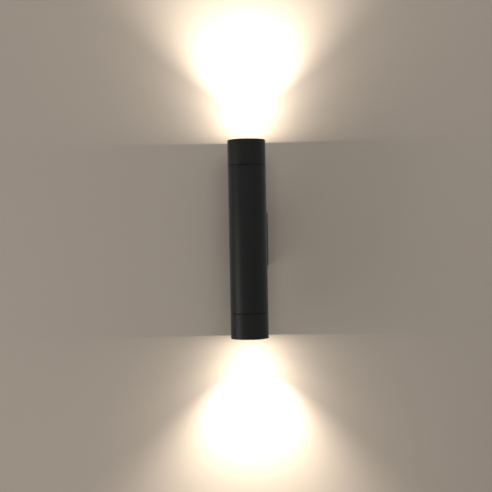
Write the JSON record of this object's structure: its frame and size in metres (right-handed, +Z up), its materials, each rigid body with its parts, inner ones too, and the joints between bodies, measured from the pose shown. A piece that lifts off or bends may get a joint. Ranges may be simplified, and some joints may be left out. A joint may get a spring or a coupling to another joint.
{
  "type": "tube wall light",
  "caption": "Slim upright tube wall light with frosted glass flush in each end, for light up and down a wall, on a small rectangular wall box with a saddle.",
  "frame": {"origin": "middle of the wall plate's back face, which lies on the wall, midway between the wall slots", "axes": "+Z up along the tube, +Y into the wall, +X to the right seen from the room"},
  "size_m": [0.06, 0.094, 0.303],
  "materials": {
    "black_paint": "matte",
    "frosted_glass": "frosted",
    "black_rubber": "matte",
    "black_foam": "matte",
    "lamp_casing": "satin",
    "lamp_optic": "clear",
    "lamp_plastic": "gloss",
    "nickel": "plated",
    "brass": "bare",
    "ceramic": "satin",
    "zinc_steel": "zinc plated",
    "black_steel": "blackened",
    "block_plastic": "satin",
    "lead_sleeve": "matte",
    "earth_sleeve": "matte"
  },
  "bodies": {
    "fixture": {"body_tube": "black_paint", "wall_box": "black_paint", "wall_gasket": "black_foam", "lead_bush": "black_rubber", "tube_fixing_washers": "zinc_steel", "tube_fixing_screws": "zinc_steel", "box_side_screws": "black_steel", "wall_plate": "zinc_steel", "cable_bush": "black_rubber", "earth_nut": "zinc_steel", "earth_screw": "zinc_steel", "terminal_block": "block_plastic", "terminal_barrels": "brass", "terminal_clamp_screws": "zinc_steel", "terminal_fixing_screw": "zinc_steel", "earth_lead": "earth_sleeve", "lamp_bridge": "zinc_steel", "bridge_nuts": "zinc_steel", "holder_screws": "zinc_steel", "holder_nuts": "zinc_steel", "upper_lampholder": "ceramic", "upper_holder_contacts": "brass", "upper_lamp_leads": "lead_sleeve", "lower_lampholder": "ceramic", "lower_holder_contacts": "brass", "lower_lamp_leads": "lead_sleeve"},
    "upper_ring_thread": {"upper_ring_seal": "black_rubber"},
    "upper_ring": {"upper_end_ring": "black_paint", "upper_lens_glass": "frosted_glass", "upper_lens_gasket": "black_rubber"},
    "upper_lamp": {"upper_lamp_housing": "lamp_casing", "upper_lamp_lens": "lamp_optic", "upper_lamp_base": "lamp_plastic", "upper_lamp_pins": "nickel"},
    "lower_ring_thread": {"lower_ring_seal": "black_rubber"},
    "lower_ring": {"lower_end_ring": "black_paint", "lower_lens_glass": "frosted_glass", "lower_lens_gasket": "black_rubber"},
    "lower_lamp": {"lower_lamp_housing": "lamp_casing", "lower_lamp_lens": "lamp_optic", "lower_lamp_base": "lamp_plastic", "lower_lamp_pins": "nickel"}
  },
  "joints": [
    {"name": "upper_ring_travel", "type": "slide", "parent": "fixture", "child": "upper_ring_thread", "axis": [0, 0, 1], "range_m": [0, 0.009]},
    {"name": "upper_ring_turn", "type": "hinge", "parent": "upper_ring_thread", "child": "upper_ring", "pos_m": [0, -0.065, 0.132], "axis": [0, 0, 1], "range_deg": [0, 2160]},
    {"name": "upper_lamp_twist", "type": "hinge", "parent": "fixture", "child": "upper_lamp", "pos_m": [0, -0.065, 0.097], "axis": [0, 0, 1], "range_deg": [0, 40]},
    {"name": "lower_ring_travel", "type": "slide", "parent": "fixture", "child": "lower_ring_thread", "axis": [0, 0, -1], "range_m": [0, 0.009]},
    {"name": "lower_ring_turn", "type": "hinge", "parent": "lower_ring_thread", "child": "lower_ring", "pos_m": [0, -0.065, -0.132], "axis": [0, 0, -1], "range_deg": [0, 2160]},
    {"name": "lower_lamp_twist", "type": "hinge", "parent": "fixture", "child": "lower_lamp", "pos_m": [0, -0.065, -0.097], "axis": [0, 0, -1], "range_deg": [0, 40]}
  ],
  "couplings": [
    {"joint": "upper_ring_travel", "follows": "upper_ring_turn", "m_per_rad": 0.00023873},
    {"joint": "lower_ring_travel", "follows": "lower_ring_turn", "m_per_rad": 0.00023873}
  ]
}
